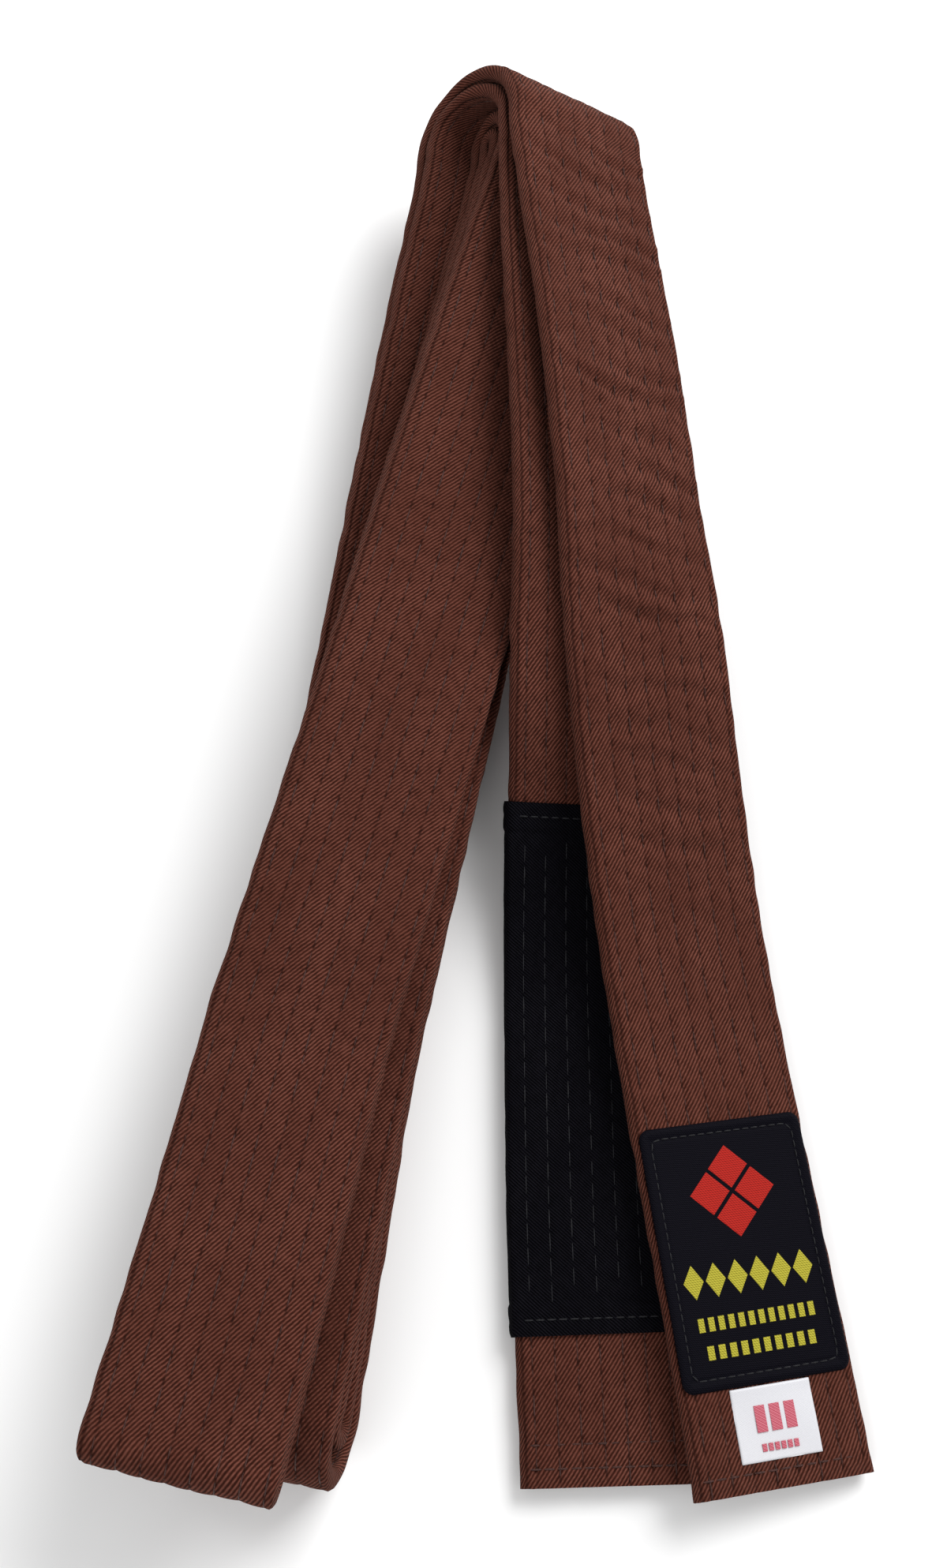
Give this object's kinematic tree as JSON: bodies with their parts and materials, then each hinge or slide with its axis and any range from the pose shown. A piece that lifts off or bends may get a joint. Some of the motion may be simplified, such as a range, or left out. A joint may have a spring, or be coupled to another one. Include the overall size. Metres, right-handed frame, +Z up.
{
  "type": "martial arts belt",
  "caption": "Brown cotton martial arts belt folded in eight passes, with a black rank bar, a woven label and a small size tag on its tails.",
  "frame": {"origin": "bottom centre of the folded belt, on the surface it lies on", "axes": "+Y along the folded belt towards the end with all the loops, +X to the side of the two free tails, +Z up"},
  "size_m": [0.1704, 0.3606, 0.052],
  "materials": {
    "brown_cover": "twill cotton, matte",
    "core_cotton": "plain undyed cotton, matte",
    "black_bar": "fine twill cotton, matte",
    "bar_thread": "black sewing thread",
    "brown_thread": "brown sewing thread",
    "label_weave": "woven damask label",
    "label_thread": "black sewing thread",
    "emblem_red": "woven red yarn",
    "emblem_yellow": "woven yellow yarn",
    "satin_tag": "white satin ribbon",
    "tag_print": "printed ink on satin"
  },
  "bodies": {
    "bundle": {"outer_bundle_cover": "brown_cover", "outer_bundle_ply_1": "core_cotton", "outer_bundle_ply_2": "core_cotton", "outer_bundle_ply_3": "core_cotton", "inner_bundle_cover": "brown_cover", "inner_bundle_ply_1": "core_cotton", "inner_bundle_ply_2": "core_cotton", "inner_bundle_ply_3": "core_cotton"},
    "tails": {"front_tail_upper_cover": "brown_cover", "front_tail_upper_ply_1": "core_cotton", "front_tail_upper_ply_2": "core_cotton", "front_tail_upper_ply_3": "core_cotton", "rear_tail_cover": "brown_cover", "rear_tail_ply_1": "core_cotton", "rear_tail_ply_2": "core_cotton", "rear_tail_ply_3": "core_cotton", "rear_end_cap": "brown_cover", "rear_end_stitch_1": "brown_thread", "rear_end_stitch_2": "brown_thread", "rank_bar_sleeve": "black_bar", "rank_bar_hem_lower": "black_bar", "rank_bar_stitch_lower": "bar_thread", "rank_bar_hem_upper": "black_bar", "rank_bar_stitch_upper": "bar_thread"},
    "front_tail": {"front_tail_cover": "brown_cover", "front_tail_ply_1": "core_cotton", "front_tail_ply_2": "core_cotton", "front_tail_ply_3": "core_cotton", "front_end_cap": "brown_cover", "front_end_stitch_1": "brown_thread", "woven_label": "label_weave", "label_emblem": "emblem_red", "label_stitch": "label_thread", "label_bar_1": "emblem_yellow", "label_bar_2": "emblem_yellow", "label_bar_3": "emblem_yellow"},
    "size_tag": {"size_tag": "satin_tag", "size_tag_mark_1": "tag_print", "size_tag_mark_2": "tag_print"},
    "front_fold": {"front_fold_cover": "brown_cover", "front_fold_ply_1": "core_cotton", "front_fold_ply_2": "core_cotton", "front_fold_ply_3": "core_cotton"}
  },
  "joints": [
    {"name": "tails_lift", "type": "hinge", "parent": "bundle", "child": "tails", "pos_m": [0.02427, 0.16079, 0.0409], "axis": [-0.848, 0, 0.5299], "range_deg": [0, 120]},
    {"name": "front_tail_lift", "type": "hinge", "parent": "tails", "child": "front_tail", "pos_m": [0.03653, 0.03988, 0.03539], "axis": [-0.9072, -0.0809, 0.4128], "range_deg": [0, 80]},
    {"name": "front_fold_lift", "type": "hinge", "parent": "bundle", "child": "front_fold", "pos_m": [-0.02873, -0.02761, 0.03364], "axis": [-0.9557, 0.2699, 0.1172], "range_deg": [0, 60]},
    {"name": "size_tag_flip", "type": "hinge", "parent": "front_tail", "child": "size_tag", "pos_m": [0.0616, -0.15529, 0.01028], "axis": [-0.9697, -0.1472, 0.1949], "range_deg": [0, 140]}
  ]
}
